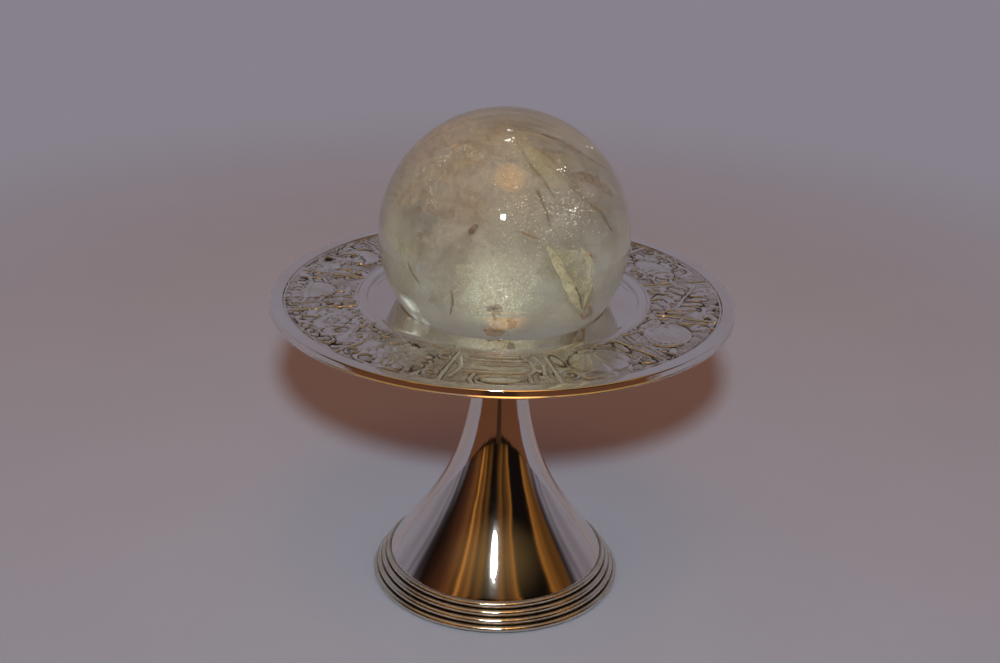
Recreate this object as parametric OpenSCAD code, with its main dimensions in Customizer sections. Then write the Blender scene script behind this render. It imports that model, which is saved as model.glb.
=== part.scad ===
// Crystal ball on a footed dish.
// Millimetres. The origin is the centre of the foot's underside, +Z points up,
// and every piece is round about the Z axis.

/* [Ball] */
// Diameter of the ball
ball_d = 100; // [99:0.5:101]
// Height of the ball's centre above the table
ball_centre_z = 153.1; // [153:0.1:153.6]
// Gap between the ball and the land it rests on
seat_gap = 0.25; // [0.1:0.05:0.4]

/* [Dish] */
// Outer diameter over the lip of the rim
dish_d = 186.6; // [185:0.2:190]
// Height of the sheet's upper face under the frieze
plate_z = 126.3; // [126:0.1:127]
// Thickness of the spun sheet
sheet_t = 1.2; // [1:0.1:1.3]
// Width of the smooth flat rim
rim_w = 5.2; // [4.8:0.1:6.5]
// Height of the flat rim above the sheet
rim_h = 1.3; // [1:0.1:1.6]
// Inner diameter of the frieze
frieze_inner_d = 116; // [115:0.5:120]
// Width of the plain raised ring inside the frieze
well_ring_w = 3.3; // [3:0.1:4]
// Drop from the sheet to the polished floor of the well
well_depth = 1.4; // [1.2:0.1:1.6]
// Number of panels round the frieze
panel_count = 12; // [8:1:16]

/* [Seat] */
// Diameter of the recess that takes the seat ring
recess_d = 83.4; // [83:0.1:84]
// Depth of the recess down to its shoulder
recess_depth = 7.9; // [7.5:0.1:8.2]
// Clearance of the loose seat ring in the recess, on the radius
ring_clearance = 0.08; // [0.05:0.01:0.1]

/* [Foot] */
// Height of the top of the reeded border
border_h = 10.95; // [10.9:0.01:11]
// Outer diameter of the lowest reed
border_d = 105.4; // [104:0.2:108]
// Number of reeds
reed_count = 4; // [4:1:4]
// Step inwards from one reed to the next
reed_step = 1.85; // [1.8:0.05:1.9]
// Diameter of the trumpet where it meets the border
trumpet_d = 90.4; // [90:0.1:90.6]
// Diameter of the trumpet's neck
neck_d = 22.4; // [20:0.2:26]
// Height of the neck's top
neck_z = 88; // [86:0.5:88]

/* [Tie rod] */
// Thread diameter of the tie rod
rod_d = 6; // [6:1:6]
// Width of the nut across its flats
nut_af = 10; // [10:1:11]

/* [Hidden] */
$fn = 120;

// Soldered round joints keep this much room on the radius, for the solder.
solder_gap = 0.02;
overlap = 0.01;

ball_r = ball_d / 2;
ball_bowl_gap = 2;
bowl_r = ball_r + ball_bowl_gap;

dish_r = dish_d / 2;
rim_top_r = dish_r - 0.5;
rim_inner_r = rim_top_r - rim_w + 0.4;
rim_wall_t = 0.8;
sheet_r = rim_top_r - rim_wall_t;
rim_top_z = plate_z + rim_h;
rim_lip_h = 0.6;
rim_bottom_z = plate_z - 1.8;
frieze_r = frieze_inner_d / 2;
well_r = frieze_r - well_ring_w;
floor_z = plate_z - well_depth;
recess_r = recess_d / 2;
shoulder_z = floor_z - recess_depth;
bowl_mouth_r = sqrt(pow(bowl_r, 2) - pow(ball_centre_z - shoulder_z, 2));
shoulder_inner_r = bowl_mouth_r + 0.2;

cup_top_z = floor_z - sheet_t;
flange_t = 1;
flange_w = 4.5;

ring_r = recess_r - ring_clearance;
ring_top_z = floor_z - 1.3;

frieze_base_h = 0.5;
frieze_h = 1.0;
fillet_w = 1.0;
divider_w = 1.2;
roundel_r = 9;

boss_r = 11;
collar_h = 3;
collar_r = 12.8;
boss_bottom_z = neck_z + collar_h;
boss_top_z = ball_centre_z - bowl_r;
thread_top_z = boss_bottom_z + 7.5;
rod_r = rod_d / 2;
rod_hole_r = rod_r + 0.3;

reed_r = 1.4;
border_bottom_z = 0.2;
reed_pitch = (border_h - border_bottom_z - 2 * reed_r) / (reed_count - 1);
border_r = border_d / 2;
border_ledge_z = 6;
border_bore_r = 43;
pad_rebate_z = 3.4;
pad_rebate_r = 48;

trumpet_r = trumpet_d / 2;
neck_r = neck_d / 2;
trumpet_steps = 26;
// Control points of the trumpet's outline, each a radius and a height.
trumpet_curve = [[trumpet_r, border_h], [29.6, 35], [16.9, 42.2], [neck_r, neck_z]];

felt_t = 1;
board_t = 1;
pad_r = pad_rebate_r - 0.2;
plate_t = 1.4;
plate_hub_r = 14;
plate_brim_r = 38;
plate_hub_z = 10;
washer_r = 9;
washer_t = 1.2;
spring_washer_r = 5.5;
spring_washer_t = 1.4;
spring_washer_slot = 0.8;
nut_h = 5;
spring_washer_z = plate_hub_z - washer_t - spring_washer_t;
nut_z = spring_washer_z - nut_h;
rod_bottom_z = nut_z + 0.2;

silver = "silver";
quartz = "lightyellow";
steel = "slategray";

// A point on a cubic curve with four control points p, for t from 0 to 1.
function curve_point(p, t) =
    pow(1 - t, 3) * p[0] + 3 * pow(1 - t, 2) * t * p[1] + 3 * (1 - t) * t * t * p[2] + pow(t, 3) * p[3];

// The direction of that curve at t, one unit long.
function curve_direction(p, t) =
    let (d = pow(1 - t, 2) * (p[1] - p[0]) + 2 * (1 - t) * t * (p[2] - p[1]) + t * t * (p[3] - p[2]))
    d / norm(d);

// The point of the sheet's inner face that lies behind the outer face at t.
function inner_point(p, t, thickness) =
    let (d = curve_direction(p, t))
    curve_point(p, t) - thickness * [d[1], -d[0]];

// A ring of rectangular section.
module ring(inner_r, outer_r, bottom_z, top_z) {
    translate([0, 0, bottom_z])
        difference() {
            cylinder(r = outer_r, h = top_z - bottom_z);
            translate([0, 0, -overlap])
                cylinder(r = inner_r, h = top_z - bottom_z + 2 * overlap);
        }
}

// The section of a ring whose two upper edges are rounded.
module rounded_section(inner_r, outer_r, bottom_z, top_z, corner) {
    translate([inner_r, bottom_z])
        square([outer_r - inner_r, top_z - bottom_z - corner]);
    translate([inner_r + corner, bottom_z])
        square([outer_r - inner_r - 2 * corner, top_z - bottom_z]);
    for (r = [inner_r + corner, outer_r - corner])
        translate([r, top_z - corner])
            circle(r = corner);
}

module crystal_ball() {
    color(quartz, 0.6)
        translate([0, 0, ball_centre_z])
            sphere(r = ball_r);
}

// Loose leather-faced ring: the ball rests on its hollow land.
module seat_ring() {
    color("saddlebrown")
        difference() {
            translate([0, 0, shoulder_z])
                cylinder(r = ring_r, h = ring_top_z - shoulder_z);
            translate([0, 0, ball_centre_z])
                sphere(r = ball_r + seat_gap);
        }
}

// The fillet that lifts the well's floor to the level of the frieze.
module well_fillet() {
    translate([well_r - well_depth, plate_z])
        intersection() {
            difference() {
                circle(r = well_depth + sheet_t);
                circle(r = well_depth);
            }
            translate([0, -well_depth - sheet_t])
                square(well_depth + sheet_t);
        }
}

// Spun plate with the polished floor of the well and the hole that the ball goes through.
module dish() {
    color(silver)
        rotate_extrude()
            union() {
                translate([well_r, plate_z - sheet_t])
                    square([sheet_r - well_r, sheet_t]);
                well_fillet();
                translate([recess_r, floor_z - sheet_t])
                    square([well_r - well_depth - recess_r, sheet_t]);
            }
}

// The section of the bowl that curves round under the ball.
module bowl_section() {
    intersection() {
        translate([0, ball_centre_z])
            difference() {
                circle(r = bowl_r + sheet_t);
                circle(r = bowl_r);
            }
        translate([0, shoulder_z - ball_r])
            square([recess_r, ball_r]);
    }
}

// Cup soldered under the plate: a flange, a straight wall, a shoulder and a bowl round the ball.
module recess_cup() {
    color(silver)
        rotate_extrude()
            union() {
                translate([recess_r, cup_top_z - flange_t])
                    square([flange_w, flange_t]);
                translate([recess_r, shoulder_z])
                    square([sheet_t, cup_top_z - shoulder_z]);
                translate([shoulder_inner_r, shoulder_z - sheet_t])
                    square([recess_r - shoulder_inner_r, sheet_t]);
                translate([recess_r, shoulder_z])
                    intersection() {
                        circle(r = sheet_t);
                        translate([-overlap, -sheet_t])
                            square([sheet_t + overlap, sheet_t + overlap]);
                    }
                bowl_section();
            }
}

module well_moulding() {
    color(silver)
        rotate_extrude()
            rounded_section(well_r, frieze_r, plate_z, plate_z + 0.9, 0.4);
}

// The relief band: border fillets, panel dividers and a roundel in each panel.
module frieze_band() {
    inner_r = frieze_r + solder_gap;
    outer_r = rim_inner_r - solder_gap;
    middle_r = (inner_r + outer_r) / 2;
    base_z = plate_z + frieze_base_h;
    top_z = plate_z + frieze_h;
    color("gainsboro") {
        ring(inner_r, outer_r, plate_z, base_z);
        ring(inner_r, inner_r + fillet_w, base_z - overlap, top_z);
        ring(outer_r - fillet_w, outer_r, base_z - overlap, top_z);
        for (i = [0 : panel_count - 1])
            rotate(i * 360 / panel_count) {
                translate([inner_r + fillet_w / 2, -divider_w / 2, base_z - overlap])
                    cube([outer_r - inner_r - fillet_w, divider_w, top_z - base_z + overlap]);
                rotate(180 / panel_count)
                    translate([middle_r, 0, 0])
                        ring(roundel_r - divider_w, roundel_r, base_z - overlap, top_z);
            }
    }
}

// The flat outer rim: a cast moulding that caps the edge of the sheet.
module rim_moulding() {
    color(silver)
        rotate_extrude() {
            rounded_section(rim_inner_r, rim_top_r, plate_z, rim_top_z, 0.35);
            translate([sheet_r + solder_gap, rim_bottom_z])
                square([rim_wall_t - solder_gap, rim_top_z - rim_bottom_z - 0.5]);
            translate([rim_top_r - overlap, rim_bottom_z])
                square([0.2 + overlap, rim_lip_h]);
            translate([dish_r - rim_lip_h / 2, rim_bottom_z + rim_lip_h / 2])
                circle(r = rim_lip_h / 2);
        }
}

// Threaded boss soldered under the cup.
module dish_boss() {
    color(silver)
        difference() {
            translate([0, 0, boss_bottom_z])
                cylinder(r = boss_r, h = boss_top_z - boss_bottom_z);
            translate([0, 0, ball_centre_z])
                sphere(r = bowl_r + sheet_t + solder_gap);
            translate([0, 0, boss_bottom_z - overlap])
                cylinder(r = rod_r, h = thread_top_z - boss_bottom_z + overlap);
        }
}

// Turned collar between the neck and the boss.
module neck_collar() {
    color(silver)
        rotate_extrude() {
            translate([rod_hole_r, neck_z])
                square([collar_r - collar_h / 2 - rod_hole_r, collar_h]);
            translate([collar_r - collar_h / 2, neck_z + collar_h / 2])
                circle(r = collar_h / 2);
        }
}

// Spun trumpet with its top turned in and a short skirt inside the border.
module trumpet_foot() {
    steps = [0 : trumpet_steps];
    outer = [for (i = steps) curve_point(trumpet_curve, i / trumpet_steps)];
    inner = [for (i = [trumpet_steps - 1 : -1 : 0]) inner_point(trumpet_curve, i / trumpet_steps, sheet_t)];
    top = [[rod_hole_r, neck_z], [rod_hole_r, neck_z - sheet_t], [neck_r - sheet_t + 0.1, neck_z - sheet_t]];
    skirt = [[trumpet_r - sheet_t, border_ledge_z], [trumpet_r, border_ledge_z]];
    color(silver)
        rotate_extrude()
            polygon(concat(outer, top, inner, skirt));
}

// Cast border of stepped reeds, with a ledge inside for the clamp plate.
module reeded_border() {
    color(silver)
        rotate_extrude()
            difference() {
                union()
                    for (i = [0 : reed_count - 1]) {
                        reed_z = border_bottom_z + reed_r + i * reed_pitch;
                        reed_centre_r = border_r - reed_r - i * reed_step;
                        translate([reed_centre_r, reed_z])
                            circle(r = reed_r);
                        translate([border_bore_r, border_bottom_z])
                            square([reed_centre_r - border_bore_r, reed_z + reed_r - border_bottom_z]);
                    }
                translate([border_bore_r - 1, border_ledge_z])
                    square([trumpet_r + solder_gap - border_bore_r + 1, border_h]);
                translate([border_bore_r - 1, 0])
                    square([pad_rebate_r - border_bore_r + 1, pad_rebate_z]);
            }
}

module tie_rod() {
    color(steel)
        translate([0, 0, rod_bottom_z])
            cylinder(r = rod_r - solder_gap, h = thread_top_z - 0.5 - rod_bottom_z);
}

// Dished steel disc that pulls the border and the trumpet up against the collar.
module clamp_plate() {
    brim_z = pad_rebate_z - plate_t;
    color(steel)
        rotate_extrude()
            polygon([[rod_hole_r, plate_hub_z], [plate_hub_r, plate_hub_z], [plate_brim_r, brim_z],
                     [pad_rebate_r - 0.1, brim_z], [pad_rebate_r - 0.1, pad_rebate_z],
                     [plate_brim_r + 0.4, pad_rebate_z], [plate_hub_r + 0.4, plate_hub_z + plate_t],
                     [rod_hole_r, plate_hub_z + plate_t]]);
}

module flat_washer() {
    color(steel)
        ring(rod_hole_r, washer_r, plate_hub_z - washer_t, plate_hub_z);
}

module spring_washer() {
    color(steel)
        difference() {
            ring(rod_hole_r, spring_washer_r, spring_washer_z, spring_washer_z + spring_washer_t);
            translate([0, -spring_washer_slot / 2, spring_washer_z - overlap])
                cube([spring_washer_r + 1, spring_washer_slot, spring_washer_t + 2 * overlap]);
        }
}

module hex_nut() {
    color(steel)
        translate([0, 0, nut_z])
            difference() {
                cylinder(d = nut_af / cos(30), h = nut_h, $fn = 6);
                translate([0, 0, -overlap])
                    cylinder(r = rod_r, h = nut_h + 2 * overlap);
            }
}

// Card disc that closes the foot.
module backing_board() {
    color("burlywood")
        translate([0, 0, felt_t])
            cylinder(r = pad_r, h = board_t);
}

// Felt that the foot stands on.
module felt_pad() {
    color("darkgreen")
        cylinder(r = pad_r, h = felt_t);
}

crystal_ball();
seat_ring();
dish();
recess_cup();
well_moulding();
frieze_band();
rim_moulding();
dish_boss();
neck_collar();
trumpet_foot();
reeded_border();
tie_rod();
clamp_plate();
flat_washer();
spring_washer();
hex_nut();
backing_board();
felt_pad();
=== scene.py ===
import math

import bmesh
import bpy
import numpy as np
from mathutils import Matrix, Vector, noise


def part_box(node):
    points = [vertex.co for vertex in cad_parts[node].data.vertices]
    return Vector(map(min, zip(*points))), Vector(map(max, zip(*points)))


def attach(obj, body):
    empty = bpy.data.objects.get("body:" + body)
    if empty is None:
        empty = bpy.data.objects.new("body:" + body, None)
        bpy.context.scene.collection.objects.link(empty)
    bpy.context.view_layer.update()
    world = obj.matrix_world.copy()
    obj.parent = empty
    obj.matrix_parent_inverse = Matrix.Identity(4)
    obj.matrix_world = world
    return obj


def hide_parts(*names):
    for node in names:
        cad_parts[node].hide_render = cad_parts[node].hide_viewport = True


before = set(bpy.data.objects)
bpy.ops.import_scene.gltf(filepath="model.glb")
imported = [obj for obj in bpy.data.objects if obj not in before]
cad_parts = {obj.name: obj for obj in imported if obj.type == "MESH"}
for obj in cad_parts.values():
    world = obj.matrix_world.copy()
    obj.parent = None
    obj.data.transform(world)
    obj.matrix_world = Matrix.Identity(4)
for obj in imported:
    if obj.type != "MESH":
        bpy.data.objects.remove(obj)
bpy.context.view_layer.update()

MM = 0.001
STAND, SEAT, BALL = "stand", "seat", "ball"


# -------- sizes

def span(node):
    """A round node's radius, lowest and highest point, in millimetres."""
    low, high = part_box(node)
    return max(high[0], high[1]) / MM, low[2] / MM, high[2] / MM


RIM_R, RIM_BOTTOM, RIM_TOP = span("rim_moulding")
WELL_RING_R, PLATE_Z, WELL_RING_TOP = span("well_moulding")
SHEET_R, FLOOR_BOTTOM, _ = span("dish")
FRIEZE_R, _, FRIEZE_TOP = span("frieze_band")
CUP_FLANGE_R, _, CUP_TOP = span("recess_cup")
SEAT_R, SHOULDER_Z, SEAT_TOP = span("seat_ring")
COLLAR_R, NECK_Z, COLLAR_TOP = span("neck_collar")
BORDER_R, BORDER_BOTTOM, BORDER_TOP = span("reeded_border")
TRUMPET_R, SKIRT_Z, _ = span("trumpet_foot")
BALL_R, BALL_LOW, BALL_HIGH = span("crystal_ball")
BOSS_R, _, _ = span("dish_boss")
PAD_R, _, PAD_T = span("felt_pad")
ROD_R, _, _ = span("tie_rod")

BALL_Z = (BALL_LOW + BALL_HIGH) / 2
SHEET_T = 1.2
SOLDER_GAP = 0.02
FLOOR_Z = FLOOR_BOTTOM + SHEET_T
SEAT_PLAY = 0.08
RECESS_R = SEAT_R + SEAT_PLAY
WELL_RING_W = 3.3
WELL_R = WELL_RING_R - WELL_RING_W
RIM_INNER_R = FRIEZE_R + SOLDER_GAP
LIP_W = 0.5
RIM_TOP_R = RIM_R - LIP_W
NECK_R = 11.2
FLARE = ((29.6, 35), (16.9, 42.2))
ROD_HOLE_R = 3.3
REED_R = 1.4
REED_STEP = 1.85
REED_PITCH = 2.65
REEDS = 4
REBATE_R = 48
REBATE_TOP = 3.4
BORDER_BORE_R = 43
BLIND_HOLE_TOP = 98.5
QUARTZ_IOR = 1.54
BOWL_R = BALL_R + 2
SEGMENTS = 256


# -------- meshes

def add(name, data):
    """A new object in the scene, from its mesh, lamp or camera data."""
    made = bpy.data.objects.new(name, data)
    bpy.context.scene.collection.objects.link(made)
    return made


def new_piece(name, vertices, faces, sharp_angle=35):
    """A smooth mesh object from points in millimetres; edges sharper than the angle stay sharp."""
    mesh = bpy.data.meshes.new(name)
    mesh.from_pydata((np.asarray(vertices) * MM).tolist(), [], [[int(k) for k in f] for f in faces])
    work = bmesh.new()
    work.from_mesh(mesh)
    bmesh.ops.recalc_face_normals(work, faces=work.faces)
    work.to_mesh(mesh)
    work.free()
    mesh.shade_smooth()
    mesh.set_sharp_from_angle(angle=math.radians(sharp_angle))
    return add(name, mesh)


def arc(centre, radius, start, end, steps=8):
    """Points along an arc, with its angles in degrees."""
    angles = np.radians(np.linspace(start, end, steps + 1))
    return [(centre[0] + radius * math.cos(a), centre[1] + radius * math.sin(a)) for a in angles]


def bezier(points, steps):
    """Points along a cubic curve with four control points."""
    p = np.array(points, float)
    t = np.linspace(0, 1, steps + 1)[:, None]
    curve = (1 - t) ** 3 * p[0] + 3 * (1 - t) ** 2 * t * p[1] + 3 * (1 - t) * t * t * p[2] + t ** 3 * p[3]
    return [tuple(q) for q in curve]


def band(name, sections, sharp_angle=35):
    """A closed ring from an array of sections, each the same number of points in order round its outline."""
    segments, count = sections.shape[:2]
    i, j = np.meshgrid(np.arange(segments), np.arange(count), indexing="ij")
    a, b, k = i * count, (i + 1) % segments * count, (j + 1) % count
    faces = np.stack([a + j, b + j, b + k, a + k], -1).reshape(-1, 4)
    return new_piece(name, sections.reshape(-1, 3), faces, sharp_angle)


def lathe(name, profile, segments=SEGMENTS):
    """A ring turned from a closed outline of (radius, height) points that stay off the axis."""
    outline = np.array(profile, float)
    outline = outline[np.linalg.norm(outline - np.roll(outline, 1, axis=0), axis=1) > 1e-4]
    angles = np.linspace(0, 2 * math.pi, segments, endpoint=False)[:, None]
    r, z = outline.T
    return band(name, np.stack([np.cos(angles) * r, np.sin(angles) * r, np.ones_like(angles) * z], -1))


def blob(name, divisions, place):
    """A smooth closed piece: an icosphere with each of its directions put at place(direction), in mm."""
    work = bmesh.new()
    bmesh.ops.create_icosphere(work, subdivisions=divisions, radius=1)
    for vertex in work.verts:
        vertex.co = place(vertex.co) * MM
    mesh = bpy.data.meshes.new(name)
    work.to_mesh(mesh)
    work.free()
    mesh.shade_smooth()
    return add(name, mesh)


def mark_relief(piece, heights):
    """Stores each point's relief height, which the cast silver reads; on the border's reeds the stored value
    is a painted highlight and shade instead.
    """
    layer = piece.data.attributes.new("relief", "FLOAT", "POINT")
    layer.data.foreach_set("value", np.asarray(heights, np.float32))


def outfit(piece, body, slot, material, *replaced):
    """Gives a piece its body and material, and hides the CAD nodes that it stands for."""
    piece.data.materials.append(material)
    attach(piece, body)
    if replaced:
        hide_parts(*replaced)


def turned(name, node, outline, segments=SEGMENTS):
    """A turned piece of the silver stand."""
    outfit(lathe(name, outline, segments), STAND, "silver", SILVER, node)


# -------- materials

class Nodes:
    """Fills a node tree. A socket's value may be a number, a colour or another node's output."""

    def __init__(self, tree):
        self.tree = tree
        tree.nodes.clear()

    def node(self, kind, sockets=None, **settings):
        made = self.tree.nodes.new("ShaderNode" + kind)
        for key, value in settings.items():
            setattr(made, key, value)
        for key, value in (sockets or {}).items():
            if isinstance(value, bpy.types.NodeSocket):
                self.tree.links.new(value, made.inputs[key])
            else:
                made.inputs[key].default_value = value
        return made

    def place(self, scale=(1, 1, 1)):
        """Object coordinates in millimetres, stretched by scale."""
        where = self.node("TexCoord").outputs["Object"]
        return self.node("Mapping", {"Vector": where, "Scale": [s / MM for s in scale]}).outputs[0]

    def noise(self, size, detail=2.0, roughness=0.5, where=None, distortion=0.0):
        """Noise whose features are about size units across: millimetres, where no place is given."""
        at = where if where is not None else self.place()
        return self.node("TexNoise", {"Vector": at, "Scale": 1 / size, "Detail": detail,
                                      "Roughness": roughness, "Distortion": distortion}).outputs[0]

    def spread(self, value, low, high, start=0.0, end=1.0):
        """Goes from low, where the value is start, to high, where it is end."""
        return self.node("MapRange", {"Value": value, "From Min": start, "From Max": end,
                                      "To Min": low, "To Max": high}).outputs[0]

    def between(self, value, start, end, kind="SMOOTHSTEP"):
        """Goes from 0 at start to 1 at end."""
        return self.node("MapRange", {"Value": value, "From Min": start, "From Max": end},
                         interpolation_type=kind).outputs[0]

    def math(self, operation, a, b=0.0):
        return self.node("Math", {0: a, 1: b}, operation=operation).outputs[0]

    def mix(self, factor, a, b, blend="MIX"):
        """Mixes two colours."""
        return self.node("MixRGB", {"Fac": factor, "Color1": a, "Color2": b}, blend_type=blend).outputs[0]

    def tint(self, factor, colour):
        """A colour times a number."""
        return self.node("VectorMath", {0: colour, "Scale": factor}, operation="SCALE").outputs[0]

    def together(self, first, *others):
        """The sum of colours."""
        for other in others:
            first = self.node("VectorMath", {0: other, 1: first}, operation="ADD").outputs[0]
        return first

    def bells(self, turn, *bumps):
        """The sum of soft bumps of an angle: each has its middle and width in degrees, and its height."""
        total = None
        for at, width, height in bumps:
            off = self.math("DIVIDE", self.math("SUBTRACT", turn, math.radians(at)), math.radians(width))
            fall = self.math("EXPONENT", self.math("MULTIPLY", self.math("POWER", off, 2.0), -1.0))
            bump = self.math("MULTIPLY", fall, height)
            total = bump if total is None else self.math("ADD", total, bump)
        return total


class Shader(Nodes):
    """A node material."""

    def __init__(self, name):
        self.material = bpy.data.materials.new(name)
        self.material.use_nodes = True
        super().__init__(self.material.node_tree)

    def ramp(self, factor, *stops):
        """A colour ramp: each stop is a position and a grey or an RGB colour."""
        made = self.node("ValToRGB", {"Fac": factor})
        elements = made.color_ramp.elements
        while len(elements) < len(stops):
            elements.new(0.5)
        for element, (position, colour) in zip(elements, stops):
            rgb = colour if hasattr(colour, "__len__") else (colour,) * 3
            element.position = position
            element.color = (*rgb, 1)
        return made.outputs[0]

    def bump(self, height, distance, normal=None):
        """A normal from a height, with the bump's depth in millimetres."""
        sockets = {"Height": height, "Distance": distance * MM}
        if normal is not None:
            sockets["Normal"] = normal
        return self.node("Bump", sockets).outputs[0]

    def principled(self, **sockets):
        return self.node("BsdfPrincipled", {k.replace("_", " "): v for k, v in sockets.items()}).outputs[0]

    def finish(self, surface, volume=None):
        sockets = {"Surface": surface}
        if volume is not None:
            sockets["Volume"] = volume
        self.node("OutputMaterial", sockets)
        return self.material


def polished_silver(name):
    """Mirror silver plate: faint tarnish clouds, hairline polishing marks and a slight ripple."""
    s = Shader(name)
    clouds = s.ramp(s.noise(34, 4), (0.35, 0), (0.75, 1))
    colour = s.mix(clouds, (0.90, 0.87, 0.85, 1), (0.83, 0.76, 0.68, 1))
    hairlines = s.noise(0.35, 3, where=s.place((0.12, 1, 1)), roughness=0.6)
    cross = s.noise(0.35, 3, where=s.place((1, 0.1, 0.5)), roughness=0.6)
    smears = s.noise(11, 5, roughness=0.65, distortion=0.6)
    rough = s.math("ADD", s.spread(smears, 0.02, 0.08), s.spread(hairlines, -0.02, 0.03))
    ripple = s.bump(s.noise(7, 2), 0.012)
    marks = s.bump(s.math("ADD", hairlines, cross), 0.0012, normal=ripple)
    return s.finish(s.principled(Base_Color=colour, Metallic=1.0, Roughness=rough, Normal=marks))


def relief_silver(name, crown, middle, crease):
    """Cast silver that is dark in its creases, dull on its slopes and rubbed bright on its crowns; on the
    border's reeds the same dark and bright are painted shade and a painted highlight.
    """
    s = Shader(name)
    height = s.node("Attribute", attribute_name="relief").outputs["Fac"]
    # on the border the relief value is painted highlight and shade, which these values carry along with the
    # wear noise
    worn = s.math("ADD", height, s.spread(s.noise(6, 3), -0.09, 0.09))
    rubbed = s.math("ADD", worn, s.spread(s.noise(0.7, 3, roughness=0.7), -0.06, 0.06))
    colour = s.ramp(rubbed, (0.04, crease), (0.17, [0.35 * c for c in middle]), (0.30, middle), (0.56, crown))
    stain = s.ramp(s.noise(9, 4, roughness=0.6), (0.42, 0), (0.70, 0.55))
    colour = s.mix(stain, colour, s.mix(1.0, colour, (0.74, 0.64, 0.50, 1), "MULTIPLY"))
    rough = s.ramp(rubbed, (0.06, 0.55), (0.28, 0.26), (0.6, 0.13))
    cast = s.bump(s.noise(2.4, 4, roughness=0.6), 0.16)
    scuffs = s.bump(s.noise(0.35, 3, where=s.place((0.3, 1, 1)), roughness=0.6), 0.006, normal=cast)
    return s.finish(s.principled(Base_Color=colour, Metallic=1.0, Roughness=rough, Normal=scuffs))


def zinc_steel(name):
    """Zinc-plated steel with fine turning lines and a cloudy passivated tint."""
    s = Shader(name)
    tint = s.mix(s.noise(5, 3), (0.52, 0.52, 0.50, 1), (0.62, 0.58, 0.48, 1))
    lines = s.noise(0.25, 2, where=s.place((1, 1, 6)))
    rough = s.spread(s.noise(1.5, 4), 0.28, 0.45)
    ridges = s.bump(lines, 0.01)
    return s.finish(s.principled(Base_Color=tint, Metallic=1.0, Roughness=rough, Normal=ridges))


def leather(name):
    """Brown seat leather with a fine pebble grain."""
    s = Shader(name)
    cells = s.node("TexVoronoi", {"Vector": s.place(), "Scale": 1 / 0.6}, feature="DISTANCE_TO_EDGE")
    pebbles = s.ramp(cells.outputs[0], (0.0, 0), (0.18, 1))
    colour = s.mix(s.noise(4, 4), (0.16, 0.075, 0.035, 1), (0.27, 0.14, 0.07, 1))
    rough = s.spread(s.noise(0.8, 3), 0.45, 0.7)
    return s.finish(s.principled(Base_Color=colour, Roughness=rough, Normal=s.bump(pebbles, 0.05)))


def felt(name):
    """Dark green wool felt: matted fibres and small lighter neps."""
    s = Shader(name)
    fibres = s.noise(0.5, 5, roughness=0.75, distortion=2.0)
    colour = s.ramp(fibres, (0.3, (0.010, 0.045, 0.025)), (0.6, (0.03, 0.12, 0.07)),
                    (0.8, (0.09, 0.20, 0.13)))
    rough = s.spread(fibres, 0.85, 1.0)
    return s.finish(s.principled(Base_Color=colour, Roughness=rough, Sheen_Weight=0.35,
                                 Normal=s.bump(fibres, 0.25)))


def card(name):
    """Grey-brown bookbinder's board with visible fibres."""
    s = Shader(name)
    fibres = s.noise(0.8, 5, where=s.place((0.25, 1, 1)), roughness=0.7)
    colour = s.ramp(fibres, (0.3, (0.30, 0.22, 0.14)), (0.7, (0.46, 0.36, 0.25)))
    return s.finish(s.principled(Base_Color=colour, Roughness=s.spread(fibres, 0.75, 0.95),
                                 Normal=s.bump(fibres, 0.04)))


def quartz(name):
    """Clear, faintly smoky quartz that lets lamplight through to what lies inside it."""
    s = Shader(name)
    tint = s.mix(s.noise(30, 3), (0.95, 0.915, 0.86, 1), (0.98, 0.965, 0.95, 1))
    glass = s.principled(Base_Color=tint, Roughness=s.spread(s.noise(6, 4), 0.0, 0.03),
                         IOR=QUARTZ_IOR, Transmission_Weight=1.0)
    lamp_ray = s.node("LightPath").outputs["Is Shadow Ray"]
    clear = s.node("BsdfTransparent", {"Color": (0.90, 0.86, 0.80, 1)}).outputs[0]
    surface = s.node("MixShader", {"Fac": lamp_ray, 1: glass, 2: clear}).outputs[0]
    haze = s.node("VolumeScatter", {"Color": (0.97, 0.95, 0.92, 1), "Density": 4.2}).outputs[0]
    smoke = s.node("VolumeAbsorption", {"Color": (0.86, 0.84, 0.73, 1), "Density": 3.8}).outputs[0]
    return s.finish(surface, s.node("AddShader", {0: haze, 1: smoke}).outputs[0])


def mist(s, broad, speckle, colour, cover, painted_glow, fade):
    """A see-through cover of tiny bubbles that dies away between two distances in mm from a point; its glow
    is painted light.
    """
    both = s.math("ADD", s.math("MULTIPLY", broad, 0.7), s.math("MULTIPLY", speckle, 0.3))
    alpha = s.ramp(both, *cover)
    if fade is not None:
        middle, inner, outer = fade
        where = s.node("TexCoord").outputs["Object"]
        away = s.node("VectorMath", {0: where, 1: Vector(middle) * MM}, operation="DISTANCE").outputs["Value"]
        away = s.math("ADD", away, s.spread(s.noise(5, 3), -0.0025, 0.0025))
        alpha = s.math("MULTIPLY", alpha, s.between(away, outer * MM, inner * MM))
    return s.finish(s.principled(Base_Color=colour, Roughness=s.spread(speckle, 0.6, 0.9), Alpha=alpha,
                                 Emission_Color=colour, Emission_Strength=painted_glow))


def veil(name, colours, cover, size=7.0, fine=1.2, painted_glow=0.0, fade=None):
    """A flat cloud in the quartz: patchy, and see-through where the cover ramp is low."""
    s = Shader(name)
    broad = s.noise(size, 4, roughness=0.6, distortion=0.4)
    speckle = s.noise(fine, 3, roughness=0.7)
    return mist(s, broad, speckle, s.mix(speckle, *[(*c, 1) for c in colours]), cover, painted_glow, fade)


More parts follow.
